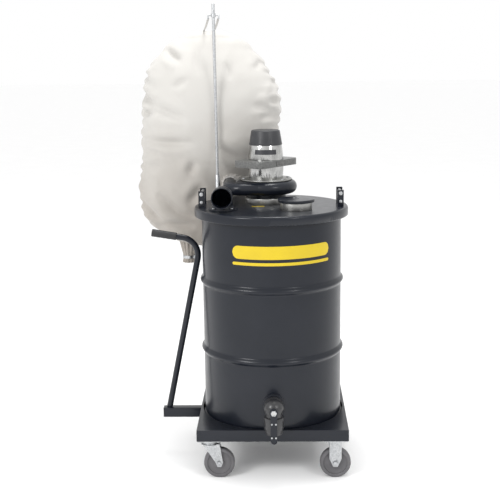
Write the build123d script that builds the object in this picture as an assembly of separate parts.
"""Wet and dry dust collector built on a steel drum: dolly, drum, motor head on the lid, and filter bag.

Millimetres, +Z up. The origin is on the floor under the drum's axis. The drain side faces -Y and the
push handle is on the -X side.
"""

import os
from math import cos, radians, sin

from build123d import *

# ---------------------------------------------------------------- shared clearances
RUN = 0.08  # radial running clearance of a shaft in its bore
GAP = 0.3  # clearance between faces of pieces that move past each other
SIDE = 0.5  # side play of a wheel in its fork
WELD = 0.5  # how far a welded piece sinks into the plate it is welded to

# ---------------------------------------------------------------- drum
DRUM_R = 287.0  # outer radius of the drum body
DRUM_H = 876.0  # from the bottom chime to the top curl
DRUM_WALL = 1.5
HOOP_OUT = 10.0  # how far a rolling hoop stands proud
HOOP_HALF = 14.0  # half the height of a hoop
HOOP_SHARES = (0.333, 0.664)  # heights of the hoops as shares of the drum
CURL_R = 5.0  # radius of the rolled top edge
HEAD_RECESS = 16.0  # how far the bottom head sits above the chime
HEAD_T = 2.0

# ---------------------------------------------------------------- dolly
DECK_RIM = 5.0  # deck beyond the well at the middle of each side
DECK_H = 48.0  # height of the folded skirt
DECK_T = 4.0
SEAT_GAP = 13.0  # radial gap between the drum and the well it stands in
SEAT_DROP = 20.0  # depth of the well below the deck
SEAT_LEDGE = 90.0  # width of the ledge that carries the drum
CORNER_PLATE = 118.0  # side of the plates over the casters
CORNER_PLATE_T = 4.0

# ---------------------------------------------------------------- casters
WHEEL_R = 62.5
WHEEL_W = 32.0
HUB_R = 21.0
HUB_STEP = 1.5  # how far the hub stands proud of the rim on each side
DISH_IN = 15.0  # from the tread to the dished web
DISH_DEEP = 6.0
TREAD_ROUND = 7.0
FORK_T = 3.0
CASTER_H = 166.0  # floor to the underside of the dolly
CASTER_PLATE_X = 96.0
CASTER_PLATE_Y = 84.0
CASTER_PLATE_T = 4.0
CASTER_BOLT_X = 74.0
CASTER_BOLT_Y = 60.0
CASTER_BOLT_R = 4.0
SWIVEL_INSET = 50.0  # from the deck's edge to the swivel axis
RIGID_INSET = 52.0
CASTER_INSET_Y = 47.0
TRAIL = 38.0  # how far the wheel centre stands off the swivel axis
CROWN_R = 35.0
CROWN_T = 5.0
CROWN_Z = 140.0  # underside of the swivel fork's crown
RACE_R = 30.0
KINGPIN_R = 7.0
AXLE_R = 6.0
AXLE_HEAD_R = 10.0
AXLE_HEAD_H = 6.0
LEG_FOOT_R = 15.0

# ---------------------------------------------------------------- push handle
FOOT_TUBE = 40.0  # side of the square foot tube
FOOT_TUBE_T = 3.0
FOOT_TUBE_DROP = 28.0  # from the deck's top to the foot tube's axis
FOOT_TUBE_LEN = 160.0
FOOT_CAP_T = 3.0
POST_R = 12.7
POST_T = 2.0
POST_FOOT_IN = 21.0  # from the foot tube's end to the post's axis
POST_DOWN = 138.0  # from the drum's top to where the post's line and the grip's line meet
POST_CLEAR = 5.0  # how far that point stands off the drum
POST_BEND_R = 75.0
GRIP_REACH = 201.0  # from that point to the grip's end
GRIP_RISE = 33.0
GRIP_R = 15.8
GRIP_LEN = 104.0
GRIP_CAP_T = 4.0
GROOVES = 4
GROOVE_PITCH = 21.0
GROOVE_R = 14.0
GROOVE_DEPTH = 1.8

# ---------------------------------------------------------------- drain valve
DRAIN_X = 6.0
DRAIN_UP = 126.0  # drain's axis above the drum's bottom
NIPPLE_R = 30.0
NIPPLE_BORE = 25.0
NIPPLE_OUT = 22.0  # from the drum wall to the valve's mouth
BOSS_R = 41.0
BOSS_T = 8.0
VALVE_OUT = 60.0  # from the drum's wall to the axis of the valve's downward leg
VALVE_R = 40.0  # radius of the valve's round body
VALVE_LEG_R = 35.0
VALVE_RING_R = 38.0
VALVE_RING_W = 14.0
BALL_R = 33.0
BALL_BORE = 22.0
STEM_R = 7.0
STEM_BOSS = 5.0  # wall of the boss round the stem
STEM_NUT_H = 8.0
SPOUT_R = 39.5
SPOUT_BORE = 26.5  # socket for a drain hose's tail
SPOUT_STOP = 4.0  # ledge at the socket's upper end
SPOUT_CLEAR = 2.0  # from the nipple's underside to the spout's top
SPOUT_LIFT = 3.0  # spout's mouth above the deck
SPOUT_TAPER_H = 26.0
SPOUT_FOOT_R = 32.0
LEVER_GAP = 4.0  # from the valve's body to the back of the lever
LEVER_T = 6.0
LEVER_W = 26.0
LEVER_HUB_R = 17.0
LEVER_LEN = 130.0
LEVER_SCREW_R = 3.6
LEVER_SCREW_H = 3.0
LEVER_SCREW_X = 8.0
LEVER_SCREW_DROPS = (46.0, 102.0)

# ---------------------------------------------------------------- lid
LID_OVERHANG = 29.0  # lid's edge beyond the drum's body
LID_T = 3.0
LID_SKIRT = 34.0
LID_ROUND = 11.0
LID_HEM_R = 3.0
GASKET_T = 5.0
GASKET_HALF = 8.0

# ---------------------------------------------------------------- motor head
HEAD_X = -21.0
HEAD_Y = 80.0
EYE_R = 46.0  # the air hole through the lid
RING_R = 88.0
RING_H = 24.0
SCROLL_GAP = 17.0  # from the mounting ring's top to the underside of the scroll
SCROLL_TUBE_R = 27.0
SCROLL_R = 129.0  # outer radius of the scroll
SCROLL_WALL = 3.0
SCROLL_EDGE = 2.0  # flat between the two roundings of the scroll's rim
OUTLET_R = 25.5
OUTLET_INSET = 3.0  # how far the outlet's pipe lies inside the scroll's front
OUTLET_X = -176.0
OUTLET_BEND_R = 62.0
OUTLET_BACK = 116.0  # from the lid's rear edge to the outlet's end
FLANGE_R = 107.0
FLANGE_T = 5.0
FLANGE_GASKET_T = 2.0
FLANGE_GASKET_OUT = 2.0  # how far the gasket stands out past the flange
FLANGE_BOSS_R = 21.0
FLANGE_BOSS_H = 14.0
CAN_R = 71.0
CAN_WALL = 3.0
CAN_H = 52.0
PLATE_LONG = 252.0
PLATE_WIDE = 152.0
PLATE_CORNER_R = 27.0
PLATE_T = 27.0
PLATE_TURN = 51.0  # of its long side, from +X
BAND_BOTTOM_R = 74.0
BAND_TOP_R = 67.0
BAND_H = 61.0
CAP_BOTTOM_R = 69.0
CAP_TOP_R = 59.0
CAP_H = 60.0
CAP_WALL = 3.0
SHAFT_R = 6.0
BEARING_R = 16.0
BEARING_W = 10.0
STATOR_R = 59.0
STATOR_BORE = 38.0
STATOR_H = 60.0
AIR_GAP = 1.0
IMPELLER_R = 88.0
IMPELLER_T = 2.0
IMPELLER_H = 24.0
BLADES = 9
BLADE_T = 2.0

# ---------------------------------------------------------------- switch in the plate's front-right side
SWITCH_W = 42.0
SWITCH_H = 17.0
SWITCH_PROUD = 2.0
ROCKER_W = 30.0
ROCKER_H = 10.0
ROCKER_DEEP = 7.0
ROCKER_TILT = 7.0
ROCKER_SINK = 1.0  # how far the pivot lies behind the plate's side
GLAND_R = 9.0
GLAND_BORE = 4.5
GLAND_OUT = 14.0
GLAND_IN = 10.0
CORD_WAY_R = 6.0  # passage from the gland to the motor

# ---------------------------------------------------------------- inlet elbow
INLET_X = -192.0
INLET_Y = -120.0  # axis of the elbow's vertical leg
INLET_RISE = 60.0  # pipe's axis above the lid
INLET_BORE_R = 39.0
INLET_WALL = 3.0
INLET_BEND_R = 55.0
INLET_STRAIGHT = 52.0
INLET_FLANGE_R = 58.0
INLET_FLANGE_T = 8.0
INLET_STEP_R = 45.0  # collar between the flange and the pipe
INLET_STEP_H = 10.0
INLET_SCREW_HEAD_R = 5.5

# ---------------------------------------------------------------- capped port
PORT_X = 101.0
PORT_Y = -120.0
PORT_R = 64.0
PORT_WALL = 5.0
PORT_H = 30.0
PORT_CAP_R = 73.5
PORT_CAP_T = 12.0
PORT_PLUG_H = 14.0
PORT_SCREW_X = 8.0
PORT_SCREW_R = 3.2

# ---------------------------------------------------------------- lift handles on the lid
LIFT_INSET = 33.0  # from the lid's edge to a lift handle
LIFT_Y = 52.0
LIFT_W = 25.0
LIFT_DEEP = 13.0
LIFT_T = 3.0
LIFT_H = 66.0
LIFT_BAR_R = 8.0

# ---------------------------------------------------------------- screws in the lid
SCREW_HEAD_R = 6.5
SCREW_HEAD_H = 3.5

# ---------------------------------------------------------------- float
FLOAT_R = 38.0
CAGE_R = 50.0
CAGE_WALL = 2.0
CAGE_H = 128.0
CAGE_SLOTS = 6
CAGE_SLOT_W = 26.0
CAGE_RIM = 14.0

# ---------------------------------------------------------------- bag rod
ROD_R = 6.3
ROD_FOOT = (-227.0, 150.0)
ROD_LEAN = -6.0  # sideways lean from the foot to the top
ROD_RISE = 817.0  # rod's top above the lid
SOCKET_R = 10.0
SOCKET_H = 110.0
SOCKET_FOOT = 17.0
SOCKET_FOOT_T = 4.0
HANGER_DOWN = 47.0  # hanger below the rod's top
HANGER_HALF = 22.0
HANGER_R = 3.0
HANGER_DROP = 16.0
HANGER_BOSS_R = 10.0
HANGER_BOSS_H = 14.0

# ---------------------------------------------------------------- filter bag
BAG_WALL = 3.0
BAG_SLEEVE_T = 2.0
BAG_SLEEVE_ON = 24.0  # length of the outlet that the sleeve covers
BAG_SLEEVE_ROOT = 62.0  # from the outlet's end to inside the bag
NECK_X = -200.0  # dump neck's axis from the outlet's axis
NECK_Y = 185.0  # and from the outlet's end
NECK_R = 28.0
NECK_BOTTOM = -384.0  # neck's lower end, from the outlet's axis
NECK_ROOT = -216.0
BAND_T = 2.0
BAND_W = 13.0
NECK_BAND_UP = 26.0  # from the neck's lower end to its band
SLEEVE_BAND_IN = 10.0  # from the sleeve's end to its band
# Height, left end, right end, centre Y and half depth of each level section of the filled bag. Heights
# and sides count from the outlet's axis, and the centre's Y from the outlet's end.
BAG_SECTIONS = (
    (-308.0, -169.0, -24.0, 200.0, 45.0),
    (-284.0, -254.0, 26.0, 200.0, 95.0),
    (-241.0, -324.0, 58.0, 202.0, 126.0),
    (-171.0, -390.0, 72.0, 204.0, 142.0),
    (-81.0, -421.0, 92.0, 202.0, 156.0),
    (14.0, -414.0, 142.0, 192.0, 172.0),
    (144.0, -402.0, 194.0, 176.0, 194.0),
    (284.0, -394.0, 214.0, 166.0, 196.0),
    (394.0, -384.0, 208.0, 162.0, 184.0),
    (479.0, -362.0, 168.0, 160.0, 160.0),
    (554.0, -304.0, 114.0, 160.0, 124.0),
    (609.0, -232.0, 51.0, 160.0, 86.0),
    (640.0, -154.0, -29.0, 160.0, 46.0),
)

# ---------------------------------------------------------------- worked-out heights and places
WELL_R = DRUM_R + SEAT_GAP
DECK_HALF = WELL_R + DECK_RIM
DECK_TOP = CASTER_H + DECK_H
DRUM_Z = DECK_TOP - SEAT_DROP
DRUM_TOP = DRUM_Z + DRUM_H

SWIVEL_X = -DECK_HALF + SWIVEL_INSET
RIGID_X = DECK_HALF - RIGID_INSET
CASTER_Y = DECK_HALF - CASTER_INSET_Y
WHEEL_X_SWIVEL = SWIVEL_X + TRAIL
FORK_IN = WHEEL_W / 2 + HUB_STEP + SIDE  # half the space between the fork's legs
CROWN_TOP = CROWN_Z + CROWN_T
FRONT, REAR = -CASTER_Y, CASTER_Y

FOOT_TUBE_Z = DECK_TOP - FOOT_TUBE_DROP
FOOT_END_X = -DECK_HALF - FOOT_TUBE_LEN
POST_FOOT_X = FOOT_END_X + POST_FOOT_IN
POST_CORNER = (-DRUM_R - POST_CLEAR, DRUM_TOP - POST_DOWN)
GRIP_END = (POST_CORNER[0] - GRIP_REACH, POST_CORNER[1] + GRIP_RISE)

DRAIN_Z = DRUM_Z + DRAIN_UP
VALVE_Y = -DRUM_R - VALVE_OUT
SPOUT_TOP_Z = DRAIN_Z - NIPPLE_R - SPOUT_CLEAR
SPOUT_FOOT_Z = DECK_TOP + SPOUT_LIFT
LEVER_BACK = VALVE_Y - VALVE_R - LEVER_GAP
LEVER_FRONT = LEVER_BACK - LEVER_T

LID_R = DRUM_R + LID_OVERHANG
LID_UNDER = DRUM_TOP + GASKET_T
LID_TOP = LID_UNDER + LID_T
LID_FLAT_R = LID_R - LID_ROUND
LIFT_X = LID_R - LIFT_INSET
OUTLET_END_Y = LID_R - OUTLET_BACK
INLET_Z = LID_TOP + INLET_RISE
RING_TOP = LID_TOP + RING_H
SCROLL_FOOT = RING_TOP + SCROLL_GAP
SCROLL_Z = SCROLL_FOOT + SCROLL_TUBE_R
SCROLL_TOP = SCROLL_Z + SCROLL_TUBE_R
FLANGE_FOOT = SCROLL_TOP + FLANGE_GASKET_T
FLANGE_TOP = FLANGE_FOOT + FLANGE_T
CAN_TOP = FLANGE_TOP + CAN_H
PLATE_TOP = CAN_TOP + PLATE_T
BAND_TOP = PLATE_TOP + BAND_H
CAP_TOP = BAND_TOP + CAP_H

ROD_TOP_Z = LID_TOP + ROD_RISE
HANGER_Z = ROD_TOP_Z - HANGER_DOWN
BAG_SLEEVE_END = OUTLET_END_Y - BAG_SLEEVE_ON


# ---------------------------------------------------------------- helpers
def upright(radius, bottom, top, x=0.0, y=0.0):
    """A round bar standing on end."""
    return Pos(x, y, (bottom + top) / 2) * Cylinder(radius, top - bottom)


def along_y(radius, start, end, x, z):
    """A round bar lying along Y."""
    return Pos(x, (start + end) / 2, z) * Rot(90, 0, 0) * Cylinder(radius, end - start)


def block(x0, x1, y0, y1, z0, z1):
    """A box given by its two corners."""
    return Pos((x0 + x1) / 2, (y0 + y1) / 2, (z0 + z1) / 2) * Box(x1 - x0, y1 - y0, z1 - z0)


def tube_along(path, outer, inner):
    """A round tube whose axis is the given wire."""
    start = Plane(path @ 0, z_dir=path % 0)
    return sweep(start * Circle(outer), path) - sweep(start * Circle(inner), path)


def bar_along(path, radius):
    """A round bar whose axis is the given wire."""
    return sweep(Plane(path @ 0, z_dir=path % 0) * Circle(radius), path)


def cone_shell(bottom_r, top_r, bottom, top, wall):
    """A conical ring with an even wall."""
    height = top - bottom
    middle = Pos(HEAD_X, HEAD_Y, (bottom + top) / 2)
    return middle * (Cone(bottom_r, top_r, height) - Cone(bottom_r - wall, top_r - wall, height))


def save(node, *pieces):
    """Write one node: one solid, or a group of equal separate solids."""
    solids = [solid for piece in pieces for solid in piece.solids()]
    export_step(Compound(label=node, children=solids), f"parts/{node}.step")


# ---------------------------------------------------------------- dolly
def dolly_deck():
    """Square pan with a folded skirt and a round well in which the drum stands."""
    half = DECK_HALF
    skirt = block(-half, half, -half, half, CASTER_H, DECK_TOP)
    hollow = block(-half + DECK_T, half - DECK_T, -half + DECK_T, half - DECK_T, CASTER_H, DECK_TOP - DECK_T)
    well = upright(WELL_R, DRUM_Z - DECK_T, DECK_TOP)
    wall = well - upright(WELL_R - DECK_T, DRUM_Z, DECK_TOP)
    ledge = upright(WELL_R - SEAT_LEDGE, DRUM_Z - DECK_T, DRUM_Z)
    return (skirt - hollow - upright(WELL_R - DECK_T, CASTER_H, DECK_TOP)) + (wall - ledge)


def corner_bolts():
    """Places of the four bolts of a caster's plate, from the plate's centre."""
    return [(sx * CASTER_BOLT_X / 2, sy * CASTER_BOLT_Y / 2) for sx in (-1, 1) for sy in (-1, 1)]


def caster_seats():
    """Centre of each caster's plate."""
    return [(x, y) for x in (SWIVEL_X, RIGID_X) for y in (FRONT, REAR)]


def dolly_corner_plates():
    """Square plates welded under the deck's corners, which carry the casters."""
    plates = []
    for x, y in caster_seats():
        sx = 1 if x > 0 else -1
        sy = 1 if y > 0 else -1
        edge = DECK_HALF - DECK_T
        xs = sorted((sx * edge, sx * (edge - CORNER_PLATE)))
        ys = sorted((sy * edge, sy * (edge - CORNER_PLATE)))
        plate = block(*xs, *ys, CASTER_H, CASTER_H + CORNER_PLATE_T)
        for dx, dy in corner_bolts():
            plate -= upright(CASTER_BOLT_R, CASTER_H, CASTER_H + CORNER_PLATE_T, x + dx, y + dy)
        if x < 0:
            plate -= upright(KINGPIN_R, CASTER_H, CASTER_H + CORNER_PLATE_T, x, y)
        plates.append(plate)
    return plates


# ---------------------------------------------------------------- casters
def drilled_plate(x, y):
    """A caster's mounting plate with its four holes."""
    low = CASTER_H - CASTER_PLATE_T
    plate = block(
        x - CASTER_PLATE_X / 2, x + CASTER_PLATE_X / 2, y - CASTER_PLATE_Y / 2, y + CASTER_PLATE_Y / 2, low, CASTER_H
    )
    for dx, dy in corner_bolts():
        plate -= upright(CASTER_BOLT_R, low, CASTER_H, x + dx, y + dy)
    return plate


def caster_bolt(x, y):
    """One bolt with its head under the caster's plate."""
    low = CASTER_H - CASTER_PLATE_T
    head = Pos(x, y, low - SCREW_HEAD_H / 2) * extrude(RegularPolygon(SCREW_HEAD_R, 6), SCREW_HEAD_H / 2, both=True)
    return head + upright(CASTER_BOLT_R, low, CASTER_H + CORNER_PLATE_T + 6.0, x, y)


def swivel_plate(y):
    """Mounting plate of a swivel caster with the fixed race under it."""
    race = upright(RACE_R, CROWN_TOP + GAP, CASTER_H - CASTER_PLATE_T, SWIVEL_X, y)
    return drilled_plate(SWIVEL_X, y) + race - upright(KINGPIN_R, 0, CASTER_H, SWIVEL_X, y)


def kingpin(y):
    """Rivet through the plate and the fork's crown."""
    nut_top = CROWN_Z - GAP
    pin = upright(KINGPIN_R, nut_top, CASTER_H + CORNER_PLATE_T, SWIVEL_X, y)
    return pin + upright(KINGPIN_R + 4.0, nut_top - 7.0, nut_top, SWIVEL_X, y)


def fork_leg(outline, y, side):
    """One plate of a fork, at its side of the wheel."""
    face = make_face(Polyline(*outline, close=True))
    upright_plane = Plane(origin=(0, y + side * FORK_IN, 0), x_dir=(1, 0, 0), z_dir=(0, -1, 0))
    return extrude(upright_plane * face, -side * FORK_T)


def swivel_fork(y):
    """Pressed fork of a swivel caster, with its crown on the kingpin."""
    x = SWIVEL_X
    wx = WHEEL_X_SWIVEL
    outline = [
        (x - 22, CROWN_TOP),
        (x + 40, CROWN_TOP),
        (x + 44, CROWN_Z - 14),
        (wx + LEG_FOOT_R, WHEEL_R + 4),
        (wx + LEG_FOOT_R * 0.5, WHEEL_R - LEG_FOOT_R),
        (wx - LEG_FOOT_R * 0.5, WHEEL_R - LEG_FOOT_R),
        (wx - LEG_FOOT_R, WHEEL_R + 4),
        (x - 18, CROWN_Z - 10),
    ]
    crown = upright(CROWN_R, CROWN_Z, CROWN_TOP, x, y)
    crown += block(x, x + 40, y - FORK_IN - FORK_T, y + FORK_IN + FORK_T, CROWN_Z, CROWN_TOP)
    fork = crown
    for side in (-1, 1):
        fork += fork_leg(outline, y, side)
    fork -= upright(KINGPIN_R + RUN, 0, CASTER_H, x, y)
    return fork - along_y(AXLE_R, y - 60, y + 60, wx, WHEEL_R)


def rigid_fork(y):
    """Fork of a rigid caster, whose legs hang straight from its plate."""
    x = RIGID_X
    low = CASTER_H - CASTER_PLATE_T
    outline = [
        (x - 24.5, low + WELD),
        (x + 24.5, low + WELD),
        (x + 24.5, WHEEL_R + 20),
        (x + 9, WHEEL_R - LEG_FOOT_R),
        (x - 9, WHEEL_R - LEG_FOOT_R),
        (x - 24.5, WHEEL_R + 20),
    ]
    fork = drilled_plate(x, y)
    for side in (-1, 1):
        fork += fork_leg(outline, y, side)
    return fork - along_y(AXLE_R, y - 60, y + 60, x, WHEEL_R)


def axle(x, y):
    """Axle bolt with its head in front and its nut behind."""
    out = FORK_IN + FORK_T
    bolt = along_y(AXLE_R, y - out, y + out, x, WHEEL_R)
    for side in (-1, 1):
        start = y + side * out
        hexagon = Plane(origin=(x, start, WHEEL_R), x_dir=(1, 0, 0), z_dir=(0, side, 0)) * RegularPolygon(AXLE_HEAD_R, 6)
        bolt += extrude(hexagon, AXLE_HEAD_H)
    return bolt


def wheel(x, y):
    """Solid wheel with a rounded tread, a dished web and a hub."""
    half = WHEEL_W / 2
    disc = along_y(WHEEL_R, y - half, y + half, x, WHEEL_R)
    disc = fillet(disc.edges().filter_by(GeomType.CIRCLE), TREAD_ROUND)
    for side in (-1, 1):
        face = y + side * half
        inner = y + side * (half - DISH_DEEP)
        dish = along_y(WHEEL_R - DISH_IN, min(face, inner), max(face, inner), x, WHEEL_R)
        disc -= dish - along_y(HUB_R, y - half, y + half, x, WHEEL_R)
    hub = along_y(HUB_R, y - FORK_IN + SIDE, y + FORK_IN - SIDE, x, WHEEL_R)
    return disc + hub - along_y(AXLE_R + RUN, y - 60, y + 60, x, WHEEL_R)


# ---------------------------------------------------------------- push handle
def handle_foot_tube():
    """Square tube welded to the dolly's side, which carries the post."""
    half = FOOT_TUBE / 2
    inside = half - FOOT_TUBE_T
    start, end = FOOT_END_X, -DECK_HALF
    tube = block(start, end, -half, half, FOOT_TUBE_Z - half, FOOT_TUBE_Z + half)
    return tube - block(start, end, -inside, inside, FOOT_TUBE_Z - inside, FOOT_TUBE_Z + inside)


def handle_foot_cap():
    """Plastic plug in the foot tube's open end."""
    half = FOOT_TUBE / 2
    inside = half - FOOT_TUBE_T
    lid = block(FOOT_END_X - FOOT_CAP_T, FOOT_END_X, -half, half, FOOT_TUBE_Z - half, FOOT_TUBE_Z + half)
    plug = block(FOOT_END_X, FOOT_END_X + 14, -inside, inside, FOOT_TUBE_Z - inside, FOOT_TUBE_Z + inside)
    return lid + plug


def post_wire(end_share=1.0):
    """Axis of the handle: straight post, one bend and the grip's straight run."""
    foot = Vector(POST_FOOT_X, 0, FOOT_TUBE_Z + FOOT_TUBE / 2 - 8)
    corner = Vector(POST_CORNER[0], 0, POST_CORNER[1])
    end = corner + (Vector(GRIP_END[0], 0, GRIP_END[1]) - corner) * end_share
    return FilletPolyline(foot, corner, end, radius=POST_BEND_R)


def handle_post():
    """Bent round tube; its foot is cut level where it is welded on the foot tube."""
    post = tube_along(post_wire(), POST_R, POST_R - POST_T)
    top = FOOT_TUBE_Z + FOOT_TUBE / 2
    return post - block(POST_FOOT_X - 60, POST_FOOT_X + 60, -40, 40, top - 60, top)


def handle_grip():
    """Rubber sleeve with a closed end and finger grooves along its underside."""
    end = Vector(GRIP_END[0], 0, GRIP_END[1])
    back = (Vector(POST_CORNER[0], 0, POST_CORNER[1]) - end).normalized()
    side = Plane(end - back * GRIP_CAP_T, x_dir=(0, 1, 0), z_dir=back)
    grip = extrude(side * Circle(GRIP_R), GRIP_LEN)
    grip = fillet(grip.edges(), 3.0)
    grip -= extrude(Plane(end, x_dir=(0, 1, 0), z_dir=back) * Circle(POST_R), GRIP_LEN)
    down = back.rotate(Axis.Y, -90)
    if down.Z > 0:
        down = down * -1
    for index in range(GROOVES):
        place = end + back * (16.0 + index * GROOVE_PITCH) + down * (GRIP_R + GROOVE_R - GROOVE_DEPTH)
        grip -= Pos(place.X, place.Y, place.Z) * Rot(90, 0, 0) * Cylinder(GROOVE_R, 3 * GRIP_R)
    return grip


# ---------------------------------------------------------------- drum
def drum_outline(outset):
    """Half section of the drum's body, closed on the axis, with its two rolling hoops."""
    radius = DRUM_R - outset
    points = [Line((0, DRUM_Z), (radius, DRUM_Z))]
    height = DRUM_Z
    for share in HOOP_SHARES:
        middle = DRUM_Z + share * DRUM_H
        points.append(Line((radius, height), (radius, middle - HOOP_HALF)))
        crest = (radius + HOOP_OUT, middle)
        points.append(ThreePointArc((radius, middle - HOOP_HALF), crest, (radius, middle + HOOP_HALF)))
        height = middle + HOOP_HALF
    points.append(Line((radius, height), (radius, DRUM_TOP - CURL_R)))
    points.append(Line((radius, DRUM_TOP - CURL_R), (0, DRUM_TOP - CURL_R)))
    points.append(Line((0, DRUM_TOP - CURL_R), (0, DRUM_Z)))
    return make_face(Wire(points))


def drum_shell():
    """Drum body with hoops, a rolled top edge and a hole for the drain."""
    section = drum_outline(0.0) - drum_outline(DRUM_WALL)
    body = revolve(Plane.XZ * section, Axis.Z)
    curl = Pos(0, 0, DRUM_TOP - CURL_R) * Torus(DRUM_R, CURL_R)
    hole = along_y(NIPPLE_R, -DRUM_R - 20, -DRUM_R + 60, DRAIN_X, DRAIN_Z)
    return body + curl - hole


def drum_bottom():
    """Flat bottom head, set up inside the chime."""
    radius = DRUM_R - DRUM_WALL
    low = DRUM_Z + HEAD_RECESS
    flange = upright(radius, DRUM_Z + 1.0, low + HEAD_T) - upright(radius - HEAD_T, DRUM_Z + 1.0, low)
    return flange


# ---------------------------------------------------------------- drain
def drain_nipple():
    """Welded boss and short pipe through the drum's wall."""
    face = -DRUM_R - NIPPLE_OUT
    boss = along_y(BOSS_R, -DRUM_R - BOSS_T, -DRUM_R + 20, DRAIN_X, DRAIN_Z)
    boss -= upright(DRUM_R, DRAIN_Z - 80, DRAIN_Z + 80)
    pipe = along_y(NIPPLE_R, face, -DRUM_R + 12, DRAIN_X, DRAIN_Z)
    return boss + pipe - along_y(NIPPLE_BORE, face - 1, -DRUM_R + 40, DRAIN_X, DRAIN_Z)


def drain_bore(radius):
    """Right-angled water way: in from the drum, then straight down."""
    centre = Pos(DRAIN_X, VALVE_Y, DRAIN_Z) * Sphere(radius)
    across = along_y(radius, VALVE_Y, -DRUM_R - NIPPLE_OUT, DRAIN_X, DRAIN_Z)
    return centre + across + upright(radius, SPOUT_TOP_Z, DRAIN_Z, DRAIN_X, VALVE_Y)


def drain_valve_body():
    """Cast angle valve: round chamber, mouth towards the drum, leg down, and the stem's boss in front."""
    mouth = -DRUM_R - NIPPLE_OUT
    body = Pos(DRAIN_X, VALVE_Y, DRAIN_Z) * Sphere(VALVE_R)
    body += along_y(VALVE_LEG_R, VALVE_Y, mouth, DRAIN_X, DRAIN_Z)
    body += along_y(VALVE_RING_R, mouth - VALVE_RING_W, mouth, DRAIN_X, DRAIN_Z)
    body += upright(VALVE_LEG_R, SPOUT_TOP_Z, DRAIN_Z, DRAIN_X, VALVE_Y)
    body += along_y(STEM_R + STEM_BOSS, LEVER_BACK + GAP, VALVE_Y - BALL_R, DRAIN_X, DRAIN_Z)
    body -= drain_bore(NIPPLE_BORE)
    body -= Pos(DRAIN_X, VALVE_Y, DRAIN_Z) * Sphere(BALL_R + GAP)
    body -= along_y(STEM_R + RUN, LEVER_BACK, VALVE_Y, DRAIN_X, DRAIN_Z)
    body -= along_y(VALVE_R, mouth, mouth + VALVE_R, DRAIN_X, DRAIN_Z)
    return body - upright(2 * VALVE_R, 0, SPOUT_TOP_Z, DRAIN_X, VALVE_Y)


def drain_spout():
    """Straight spout under the valve, drawn in at its lower end."""
    knee = SPOUT_FOOT_Z + SPOUT_TAPER_H
    body = upright(SPOUT_R, knee, SPOUT_TOP_Z, DRAIN_X, VALVE_Y)
    body += Pos(DRAIN_X, VALVE_Y, (SPOUT_FOOT_Z + knee) / 2) * Cone(SPOUT_FOOT_R, SPOUT_R, SPOUT_TAPER_H)
    socket = upright(SPOUT_BORE, SPOUT_FOOT_Z, SPOUT_TOP_Z - SPOUT_STOP, DRAIN_X, VALVE_Y)
    return body - socket - upright(NIPPLE_BORE, SPOUT_FOOT_Z, SPOUT_TOP_Z, DRAIN_X, VALVE_Y)


def drain_ball():
    """Ball with its stem; its bore turns from the drum down to the spout when the valve is open."""
    ball = Pos(DRAIN_X, VALVE_Y, DRAIN_Z) * Sphere(BALL_R)
    ball -= along_y(BALL_BORE, VALVE_Y, VALVE_Y + BALL_R, DRAIN_X, DRAIN_Z)
    ball -= upright(BALL_BORE, DRAIN_Z - BALL_R, DRAIN_Z, DRAIN_X, VALVE_Y)
    ball -= Pos(DRAIN_X, VALVE_Y, DRAIN_Z) * Sphere(BALL_BORE)
    return ball + along_y(STEM_R, LEVER_FRONT - STEM_NUT_H + 2, VALVE_Y - BALL_R + 4, DRAIN_X, DRAIN_Z)


def drain_lever():
    """Flat steel lever that hangs from the stem."""
    hub = along_y(LEVER_HUB_R, LEVER_FRONT, LEVER_BACK, DRAIN_X, DRAIN_Z)
    low = DRAIN_Z - LEVER_LEN + LEVER_W / 2
    half = LEVER_W / 2
    blade = block(DRAIN_X - half, DRAIN_X + half, LEVER_FRONT, LEVER_BACK, low, DRAIN_Z)
    tip = along_y(half, LEVER_FRONT, LEVER_BACK, DRAIN_X, low)
    return hub + blade + tip - along_y(STEM_R, LEVER_FRONT - 1, LEVER_BACK + 1, DRAIN_X, DRAIN_Z)


def lever_screws():
    """Domed screws in the lever and the nut on the stem."""
    screws = []
    for drop in LEVER_SCREW_DROPS:
        for side in (-1, 1):
            x = DRAIN_X + side * LEVER_SCREW_X
            screws.append(along_y(LEVER_SCREW_R, LEVER_FRONT - LEVER_SCREW_H, LEVER_FRONT, x, DRAIN_Z - drop))
    spot = Plane(origin=(DRAIN_X, LEVER_FRONT - STEM_NUT_H, DRAIN_Z), x_dir=(1, 0, 0), z_dir=(0, 1, 0))
    nut = extrude(spot * RegularPolygon(STEM_R + 5, 6), STEM_NUT_H)
    return [*screws, nut - along_y(STEM_R, LEVER_FRONT - STEM_NUT_H, LEVER_FRONT, DRAIN_X, DRAIN_Z)]


# ---------------------------------------------------------------- lid
def lid_holes():
    """What passes through the lid: inlet, air to the fan, and the capped port."""
    low, high = LID_UNDER - 20, LID_TOP + 20
    holes = upright(INLET_BORE_R, low, high, INLET_X, INLET_Y)
    holes += upright(EYE_R, low, high, HEAD_X, HEAD_Y)
    return holes + upright(PORT_R - PORT_WALL, low, high, PORT_X, PORT_Y)


def lid_pan():
    """The lid's flat, with its three holes."""
    return upright(LID_FLAT_R, LID_UNDER, LID_TOP) - lid_holes()


def lid_rim():
    """The lid's rounded edge, deep skirt and rolled hem."""
    low = LID_TOP - LID_SKIRT
    outer = upright(LID_R, low, LID_TOP)
    outer = fillet(outer.edges().group_by(Axis.Z)[-1], LID_ROUND)
    inner = upright(LID_R - LID_T, low, LID_UNDER)
    inner = fillet(inner.edges().group_by(Axis.Z)[-1], LID_ROUND - LID_T)
    hem = Pos(0, 0, low) * Torus(LID_R - LID_HEM_R, LID_HEM_R)
    return outer - inner + hem - upright(LID_FLAT_R, LID_UNDER, LID_TOP)


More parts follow.
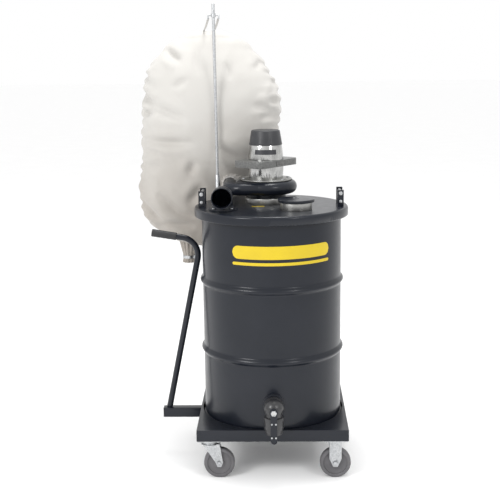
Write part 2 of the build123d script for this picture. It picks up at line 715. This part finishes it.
def lid_gasket():
    """Flat rubber ring between the drum's curl and the lid."""
    ring = upright(DRUM_R + GASKET_HALF, DRUM_TOP, LID_UNDER)
    return ring - upright(DRUM_R - GASKET_HALF, DRUM_TOP, LID_UNDER)


def screw(x, y, bottom, radius=SCREW_HEAD_R):
    """Head of a screw standing on a flange."""
    return upright(radius, bottom, bottom + SCREW_HEAD_H, x, y)


def ring_places(x, y, radius, count, start=45.0):
    """Evenly spaced places on a circle."""
    turns = [radians(start + index * 360.0 / count) for index in range(count)]
    return [(x + radius * cos(turn), y + radius * sin(turn)) for turn in turns]


def lid_screws():
    """Screws of the inlet flange, the rod's socket and the lift handles."""
    circle = (INLET_STEP_R + INLET_FLANGE_R) / 2
    screws = []
    for x, y in ring_places(INLET_X, INLET_Y, circle, 4):
        screws.append(screw(x, y, LID_TOP + INLET_FLANGE_T, INLET_SCREW_HEAD_R))
    for x, y in ring_places(*ROD_FOOT, SOCKET_FOOT + 2, 2, 0):
        screws.append(screw(x, y, LID_TOP + SOCKET_FOOT_T))
    for side in (-1, 1):
        for y in (-LIFT_Y, LIFT_Y):
            face = y - LIFT_T / 2 if y < 0 else y + LIFT_T / 2
            out = -1 if y < 0 else 1
            ends = sorted((face, face + out * SCREW_HEAD_H))
            screws.append(along_y(SCREW_HEAD_R, *ends, side * LIFT_X, LID_TOP + 20))
    return screws


# ---------------------------------------------------------------- inlet
def inlet_wire():
    """Axis of the inlet elbow, from its mouth to the lid."""
    mouth = (INLET_X, INLET_Y - INLET_BEND_R - INLET_STRAIGHT, INLET_Z)
    corner = (INLET_X, INLET_Y, INLET_Z)
    foot = (INLET_X, INLET_Y, LID_TOP)
    return FilletPolyline(mouth, corner, foot, radius=INLET_BEND_R)


def inlet_elbow():
    """Bent pipe; the hose pushes into its mouth."""
    return bar_along(inlet_wire(), INLET_BORE_R + INLET_WALL) - bar_along(inlet_wire(), INLET_BORE_R)


def inlet_flange():
    """Flange and collar round the elbow's foot, screwed to the lid."""
    flange = upright(INLET_FLANGE_R, LID_TOP, LID_TOP + INLET_FLANGE_T, INLET_X, INLET_Y)
    step = upright(INLET_STEP_R, LID_TOP, LID_TOP + INLET_FLANGE_T + INLET_STEP_H, INLET_X, INLET_Y)
    return flange + step - bar_along(inlet_wire(), INLET_BORE_R + INLET_WALL)


# ---------------------------------------------------------------- port
def port_collar():
    """Aluminium ring round the spare opening."""
    ring = upright(PORT_R, LID_TOP, LID_TOP + PORT_H, PORT_X, PORT_Y)
    return ring - upright(PORT_R - PORT_WALL, LID_TOP, LID_TOP + PORT_H, PORT_X, PORT_Y)


def port_cap():
    """Cap with a plug that drops into the ring."""
    seat = LID_TOP + PORT_H + GAP
    disc = upright(PORT_CAP_R, seat, seat + PORT_CAP_T, PORT_X, PORT_Y)
    disc = fillet(disc.edges().filter_by(GeomType.CIRCLE), 3.0)
    plug_r = PORT_R - PORT_WALL - SIDE
    plug = upright(plug_r, seat - PORT_PLUG_H, seat, PORT_X, PORT_Y)
    plug -= upright(plug_r - 3, seat - PORT_PLUG_H, seat, PORT_X, PORT_Y)
    return disc + plug


def port_cap_screws():
    """Two screws near the cap's centre."""
    top = LID_TOP + PORT_H + GAP + PORT_CAP_T
    return [upright(PORT_SCREW_R, top, top + 2.5, PORT_X + s * PORT_SCREW_X, PORT_Y + 12) for s in (-1, 1)]


# ---------------------------------------------------------------- lift handles
def lid_brackets():
    """Four channel-shaped uprights, two for each lift handle."""
    posts = []
    for sx in (-1, 1):
        for sy in (-1, 1):
            x, y = sx * LIFT_X, sy * LIFT_Y
            inner = -sy
            ys = sorted((y - sy * LIFT_T / 2, y + inner * LIFT_DEEP))
            web = sorted((y - LIFT_T / 2, y + LIFT_T / 2))
            post = block(x - LIFT_W / 2, x + LIFT_W / 2, *web, LID_TOP, LID_TOP + LIFT_H)
            for side in (-1, 1):
                xs = sorted((x + side * LIFT_W / 2, x + side * (LIFT_W / 2 - LIFT_T)))
                post += block(*xs, *ys, LID_TOP, LID_TOP + LIFT_H)
            post -= along_y(LIFT_BAR_R, y - 30, y + 30, x, LID_TOP + LIFT_H - LIFT_BAR_R - 5)
            posts.append(post)
    return posts


def lid_bars():
    """Round bars of the lift handles, through both uprights."""
    z = LID_TOP + LIFT_H - LIFT_BAR_R - 5
    out = LIFT_Y + 5
    return [along_y(LIFT_BAR_R, -out, out, sx * LIFT_X, z) for sx in (-1, 1)]


# ---------------------------------------------------------------- motor head
def at_head(radius, bottom, top):
    """A round bar on the motor's axis."""
    return upright(radius, bottom, top, HEAD_X, HEAD_Y)


def motor_ring():
    """Aluminium ring that carries the fan on the lid."""
    return at_head(RING_R, LID_TOP, RING_TOP) - at_head(EYE_R, LID_TOP, RING_TOP)


def outlet_wire():
    """Axis of the fan's outlet: along the scroll's front, round its corner and back to the bag."""
    front = HEAD_Y - SCROLL_R + OUTLET_R + OUTLET_INSET
    start = (HEAD_X, front, SCROLL_Z)
    corner = (OUTLET_X, front, SCROLL_Z)
    end = (OUTLET_X, OUTLET_END_Y, SCROLL_Z)
    return FilletPolyline(start, corner, end, radius=OUTLET_BEND_R)


def round_disc(radius, half):
    """A disc on the motor's axis with a rounded rim."""
    disc = at_head(radius, SCROLL_Z - half, SCROLL_Z + half)
    return fillet(disc.edges().filter_by(GeomType.CIRCLE), half - SCROLL_EDGE / 2)


def scroll_housing():
    """Fan casing: a round-rimmed drum about the motor's axis, whose outlet pipe leaves along its front."""
    neck = at_head(RING_R - 6, RING_TOP, SCROLL_Z)
    outer = round_disc(SCROLL_R, SCROLL_TUBE_R) + neck + bar_along(outlet_wire(), OUTLET_R)
    inner = round_disc(SCROLL_R - SCROLL_WALL, SCROLL_TUBE_R - SCROLL_WALL)
    inner += bar_along(outlet_wire(), OUTLET_R - SCROLL_WALL)
    inner += at_head(EYE_R, RING_TOP, SCROLL_Z)
    inner += at_head(SHAFT_R + 8, SCROLL_Z, SCROLL_TOP)
    return outer - inner


def motor_flange():
    """Disc that closes the fan casing, with the lower bearing's boss."""
    disc = at_head(FLANGE_R, FLANGE_FOOT, FLANGE_TOP)
    boss = at_head(FLANGE_BOSS_R, FLANGE_TOP, FLANGE_TOP + FLANGE_BOSS_H)
    seat = at_head(BEARING_R, FLANGE_TOP + FLANGE_BOSS_H - BEARING_W, FLANGE_TOP + FLANGE_BOSS_H)
    return disc + boss - seat - at_head(SHAFT_R + 4, FLANGE_FOOT, FLANGE_TOP + FLANGE_BOSS_H)


def motor_gasket():
    """Thin rubber ring between the fan casing and the motor's flange."""
    ring = at_head(FLANGE_R + FLANGE_GASKET_OUT, SCROLL_TOP, FLANGE_FOOT)
    return ring - at_head(SHAFT_R + 8, SCROLL_TOP, FLANGE_FOOT)


def motor_can():
    """Lower motor casing between the flange and the carrying plate."""
    return cone_shell(CAN_R, CAN_R + 3, FLANGE_TOP, CAN_TOP, CAN_WALL)


def carry_plate():
    """Thick oblong plate with round corners, set askew: it carries the motor and is its hand hold."""
    outline = RectangleRounded(PLATE_LONG, PLATE_WIDE, PLATE_CORNER_R)
    plate = Pos(HEAD_X, HEAD_Y, CAN_TOP) * Rot(0, 0, PLATE_TURN) * extrude(outline, PLATE_T)
    plate -= at_head(STATOR_R, CAN_TOP, PLATE_TOP)
    plate -= gland_bar(GLAND_R, GLAND_IN, 1.0) + gland_bar(CORD_WAY_R, PLATE_LONG / 2 - STATOR_R, 0)
    return plate - switch_frame() * Box(SWITCH_W, SWITCH_H, 2 * ROCKER_DEEP + 6)


def gland_bar(radius, inward, outward):
    """A round bar square to the plate's rear end, from inside the end to outside it."""
    out = Vector(cos(radians(PLATE_TURN)), sin(radians(PLATE_TURN)), 0)
    end = Vector(HEAD_X, HEAD_Y, CAN_TOP + PLATE_T / 2) + out * (PLATE_LONG / 2)
    return extrude(Plane(end - out * inward, z_dir=out) * Circle(radius), inward + outward)


def cord_gland():
    """Gland in the plate's rear end, where the power cord goes in."""
    return gland_bar(GLAND_R, GLAND_IN, GLAND_OUT) - gland_bar(GLAND_BORE, GLAND_IN, GLAND_OUT)


def motor_band():
    """Bright conical casing above the plate."""
    return cone_shell(BAND_BOTTOM_R, BAND_TOP_R, PLATE_TOP, BAND_TOP, CAN_WALL)


def motor_cap():
    """Dark conical cap, closed on top, with the upper bearing's boss inside."""
    shell = Pos(HEAD_X, HEAD_Y, (BAND_TOP + CAP_TOP) / 2) * Cone(CAP_BOTTOM_R, CAP_TOP_R, CAP_H)
    shell = fillet(shell.edges().group_by(Axis.Z)[-1], 6.0)
    hollow_h = CAP_H - CAP_WALL
    hollow = Pos(HEAD_X, HEAD_Y, BAND_TOP + hollow_h / 2) * Cone(
        CAP_BOTTOM_R - CAP_WALL, CAP_TOP_R - CAP_WALL, hollow_h
    )
    boss = at_head(BEARING_R + 4, BAND_TOP + 12, CAP_TOP - CAP_WALL)
    seat = at_head(BEARING_R, BAND_TOP + 12, BAND_TOP + 12 + BEARING_W)
    bore = at_head(SHAFT_R + 4, BAND_TOP + 12, BAND_TOP + 34)
    return shell - hollow + boss - seat - bore


def motor_screws():
    """Screws round the motor's flange."""
    return [screw(x, y, FLANGE_TOP) for x, y in ring_places(HEAD_X, HEAD_Y, FLANGE_R - 12, 6, 15)]


def bearings():
    """Plain rings that stand for the two ball bearings."""
    low = FLANGE_TOP + FLANGE_BOSS_H - BEARING_W
    high = BAND_TOP + 12
    rings = []
    for bottom in (low, high):
        rings.append(at_head(BEARING_R, bottom, bottom + BEARING_W) - at_head(SHAFT_R + RUN, 0, CAP_TOP))
    return rings


def motor_stator():
    """Field ring of the motor, held in the carrying plate."""
    middle = (CAN_TOP + PLATE_TOP) / 2
    ring = at_head(STATOR_R, middle - STATOR_H / 2, middle + STATOR_H / 2)
    return ring - at_head(STATOR_BORE, 0, CAP_TOP)


def motor_shaft():
    """Shaft from the impeller to the upper bearing."""
    return at_head(SHAFT_R, SCROLL_FOOT + SCROLL_WALL + 3, BAND_TOP + 12 + BEARING_W + 2)


def armature():
    """Laminated core on the shaft, inside the field ring."""
    middle = (CAN_TOP + PLATE_TOP) / 2
    core = at_head(STATOR_BORE - AIR_GAP, middle - STATOR_H / 2, middle + STATOR_H / 2)
    return core - at_head(SHAFT_R, 0, CAP_TOP)


def impeller():
    """Back disc, hub and swept blades."""
    low = SCROLL_FOOT + SCROLL_WALL + 4
    high = low + IMPELLER_H
    fan = at_head(IMPELLER_R, high - IMPELLER_T, high) + at_head(SHAFT_R + 8, low, high)
    for index in range(BLADES):
        turn = index * 360.0 / BLADES
        span = IMPELLER_R - SHAFT_R - 12
        reach = (IMPELLER_R + SHAFT_R + 8) / 2
        blade = Pos(HEAD_X, HEAD_Y, (low + high) / 2) * Rot(0, 0, turn) * Pos(reach, 0, 0) * Rot(0, 0, 18)
        fan += blade * Box(span * 0.95, BLADE_T, IMPELLER_H)
    return fan - at_head(SHAFT_R, 0, CAP_TOP)


# ---------------------------------------------------------------- switch
def switch_frame():
    """Place on the plate's front-right side: local X along the side, local Y up, local Z out."""
    turn = radians(PLATE_TURN)
    out = Vector(sin(turn), -cos(turn), 0)
    centre = Vector(HEAD_X, HEAD_Y, CAN_TOP + PLATE_T / 2) + out * (PLATE_WIDE / 2)
    along = Vector(cos(turn), sin(turn), 0)
    return Plane(centre, x_dir=along, z_dir=out).location


def rocker_place():
    """The rocker's pivot, a little behind the plate's side, turned to its off position."""
    return switch_frame() * Pos(0, 0, -ROCKER_SINK) * Rot(0, -ROCKER_TILT, 0)


def rocker_swing(grow):
    """Space that the rocker sweeps between its two positions."""
    centre = switch_frame() * Pos(0, 0, -ROCKER_SINK)
    swept = centre * rocker_block(grow)
    for tilt in (-ROCKER_TILT, ROCKER_TILT):
        swept += centre * Rot(0, tilt, 0) * rocker_block(grow)
    return swept


def rocker_block(grow=0.0):
    """The rocker's body about its pivot."""
    return Box(ROCKER_W + 2 * grow, ROCKER_H + 2 * grow, ROCKER_DEEP + 2 * grow)


def switch_housing():
    """Frame of the switch, let into the plate's side."""
    depth = ROCKER_DEEP + 3
    body = switch_frame() * Pos(0, 0, (SWITCH_PROUD - depth) / 2) * Box(SWITCH_W, SWITCH_H, depth + SWITCH_PROUD)
    rim = switch_frame() * Pos(0, 0, SWITCH_PROUD / 2) * Box(SWITCH_W + 3, SWITCH_H + 3, SWITCH_PROUD)
    front = switch_frame() * Pos(0, 0, 5) * Box(ROCKER_W + 2 * GAP, ROCKER_H + 2 * GAP, 10)
    return body + rim - rocker_swing(GAP) - front


def switch_rocker():
    """The rocker at its off position."""
    return rocker_place() * rocker_block()


# ---------------------------------------------------------------- float
def float_cage():
    """Slotted cage under the lid that keeps the float below the fan's air hole."""
    top = LID_UNDER
    low = top - CAGE_H
    cage = at_head(CAGE_R, low, top) - at_head(CAGE_R - CAGE_WALL, low + CAGE_WALL, top)
    for index in range(CAGE_SLOTS):
        turn = index * 360.0 / CAGE_SLOTS
        slot = Box(2 * CAGE_R, CAGE_SLOT_W, CAGE_H - 2 * CAGE_RIM)
        cage -= Pos(HEAD_X, HEAD_Y, (low + top) / 2) * Rot(0, 0, turn) * Pos(CAGE_R, 0, 0) * slot
    return cage


def float_ball():
    """Hollow ball that rises with the water and shuts the air hole."""
    low = LID_UNDER - CAGE_H + CAGE_WALL
    centre = Pos(HEAD_X, HEAD_Y, low + FLOAT_R + GAP)
    return centre * (Sphere(FLOAT_R) - Sphere(FLOAT_R - 2))


# ---------------------------------------------------------------- bag rod
def rod_lean(z):
    """X of the rod's axis at a height; it leans a little."""
    return ROD_FOOT[0] + ROD_LEAN * (z - LID_TOP) / ROD_RISE


def rod_line(bottom, top):
    """Stretch of the rod's axis between two heights."""
    return Line((rod_lean(bottom), ROD_FOOT[1], bottom), (rod_lean(top), ROD_FOOT[1], top))


def rod_socket():
    """Bright socket on the lid in which the rod stands."""
    foot = upright(SOCKET_FOOT + 10, LID_TOP, LID_TOP + SOCKET_FOOT_T, *ROD_FOOT)
    tube = bar_along(rod_line(LID_TOP + 2, LID_TOP + SOCKET_H), SOCKET_R)
    return foot + tube - bar_along(rod_line(LID_TOP + SOCKET_FOOT_T + 2, LID_TOP + SOCKET_H + 5), ROD_R)


def bag_rod():
    """Long rod with a small round finial."""
    rod = bar_along(rod_line(LID_TOP + SOCKET_FOOT_T + 2, ROD_TOP_Z), ROD_R)
    return fillet(rod.edges().group_by(Axis.Z)[-1], 2.0)


def rod_hanger():
    """Cross wire that the bag hangs from, in a boss on the rod."""
    x = rod_lean(HANGER_Z)
    y = ROD_FOOT[1]
    half = HANGER_BOSS_H / 2
    boss = bar_along(rod_line(HANGER_Z - half, HANGER_Z + half), HANGER_BOSS_R)
    wire = Pos(x, y, HANGER_Z) * Rot(0, 90, 0) * Cylinder(HANGER_R, 2 * HANGER_HALF)
    for side in (-1, 1):
        wire += Pos(x + side * HANGER_HALF, y, HANGER_Z) * Sphere(HANGER_R)
        wire += upright(HANGER_R, HANGER_Z - HANGER_DROP, HANGER_Z, x + side * HANGER_HALF, y)
    return boss + wire - bar_along(rod_line(HANGER_Z - 2 * half, HANGER_Z + 2 * half), ROD_R)


# ---------------------------------------------------------------- filter bag
def bag_loft(inset):
    """Smooth body through the bag's level sections."""
    faces = []
    last = len(BAG_SECTIONS) - 1
    for index, (height, left, right, centre, depth) in enumerate(BAG_SECTIONS):
        shift = inset if index == 0 else -inset if index == last else 0.0
        place = Pos(OUTLET_X + (left + right) / 2, OUTLET_END_Y + centre, SCROLL_Z + height + shift)
        faces.append(place * Ellipse((right - left) / 2 - inset, depth - inset))
    return loft(faces)


def neck_bar(radius, low, high):
    """A round bar on the dump neck's axis, its ends counted from the neck's lower end."""
    foot = SCROLL_Z + NECK_BOTTOM
    return upright(radius, foot + low, foot + high, OUTLET_X + NECK_X, OUTLET_END_Y + NECK_Y)


def filter_bag():
    """Filled cloth bag with its inlet sleeve and its tied dump neck."""
    root = OUTLET_END_Y + BAG_SLEEVE_ROOT
    sleeve = along_y(OUTLET_R + BAG_SLEEVE_T, BAG_SLEEVE_END, root, OUTLET_X, SCROLL_Z)
    neck = neck_bar(NECK_R, 0, NECK_ROOT - NECK_BOTTOM)
    bag = bag_loft(0.0) + sleeve + neck - bag_loft(BAG_WALL)
    return bag - along_y(OUTLET_R, BAG_SLEEVE_END - 1, OUTLET_END_Y + 1, OUTLET_X, SCROLL_Z)


def bag_clamps():
    """Band clamps on the sleeve and on the dump neck."""
    sleeve_r = OUTLET_R + BAG_SLEEVE_T
    middle = BAG_SLEEVE_END + SLEEVE_BAND_IN
    ends = (middle - BAND_W / 2, middle + BAND_W / 2)
    sleeve = along_y(sleeve_r + BAND_T, *ends, OUTLET_X, SCROLL_Z) - along_y(sleeve_r, *ends, OUTLET_X, SCROLL_Z)
    lows = (NECK_BAND_UP - BAND_W / 2, NECK_BAND_UP + BAND_W / 2)
    return [sleeve, neck_bar(NECK_R + BAND_T, *lows) - neck_bar(NECK_R, *lows)]


# ---------------------------------------------------------------- write every node
os.makedirs("parts", exist_ok=True)

save("dolly_deck", dolly_deck())
save("dolly_corner_plates", *dolly_corner_plates())
save("handle_foot_tube", handle_foot_tube())
save("handle_foot_cap", handle_foot_cap())
save("handle_post", handle_post())
save("handle_grip", handle_grip())

save("caster_bolts", *[caster_bolt(x + dx, y + dy) for x, y in caster_seats() for dx, dy in corner_bolts()])
save("swivel_plates", *[swivel_plate(y) for y in (FRONT, REAR)])
save("swivel_kingpins", *[kingpin(y) for y in (FRONT, REAR)])
save("rigid_forks", *[rigid_fork(y) for y in (FRONT, REAR)])
save("rigid_axles", *[axle(RIGID_X, y) for y in (FRONT, REAR)])
for place, side_y in (("front", FRONT), ("rear", REAR)):
    save(f"swivel_fork_{place}", swivel_fork(side_y))
    save(f"swivel_axle_{place}", axle(WHEEL_X_SWIVEL, side_y))
    save(f"swivel_wheel_{place}", wheel(WHEEL_X_SWIVEL, side_y))
    save(f"rigid_wheel_{place}", wheel(RIGID_X, side_y))

save("drum_shell", drum_shell())
save("drum_bottom", drum_bottom())
save("drain_nipple", drain_nipple())
save("drain_valve_body", drain_valve_body())
save("drain_spout", drain_spout())
save("drain_ball", drain_ball())
save("drain_lever", drain_lever())
save("drain_lever_screws", *lever_screws())

save("lid_pan", lid_pan())
save("lid_rim", lid_rim())
save("lid_gaskets", lid_gasket(), motor_gasket())
save("lid_screws", *lid_screws(), *motor_screws())
save("lid_brackets", *lid_brackets())
save("lid_bars", *lid_bars())
save("inlet_elbow", inlet_elbow())
save("inlet_flange", inlet_flange())
save("port_collar", port_collar())
save("port_cap", port_cap())
save("port_cap_screws", *port_cap_screws())

save("motor_ring", motor_ring())
save("scroll_housing", scroll_housing())
save("motor_flange", motor_flange())
save("motor_can", motor_can())
save("carry_plate", carry_plate())
save("motor_band", motor_band())
save("motor_cap", motor_cap())
save("motor_stator", motor_stator())
save("motor_bearings", *bearings())
save("motor_shaft", motor_shaft())
save("armature", armature())
save("impeller", impeller())
save("cord_gland", cord_gland())
save("switch_housing", switch_housing())
save("switch_rocker", switch_rocker())
save("float_cage", float_cage())
save("float_ball", float_ball())

save("rod_socket", rod_socket())
save("bag_rod", bag_rod())
save("rod_hanger", rod_hanger())
save("filter_bag", filter_bag())
save("bag_clamps", *bag_clamps())
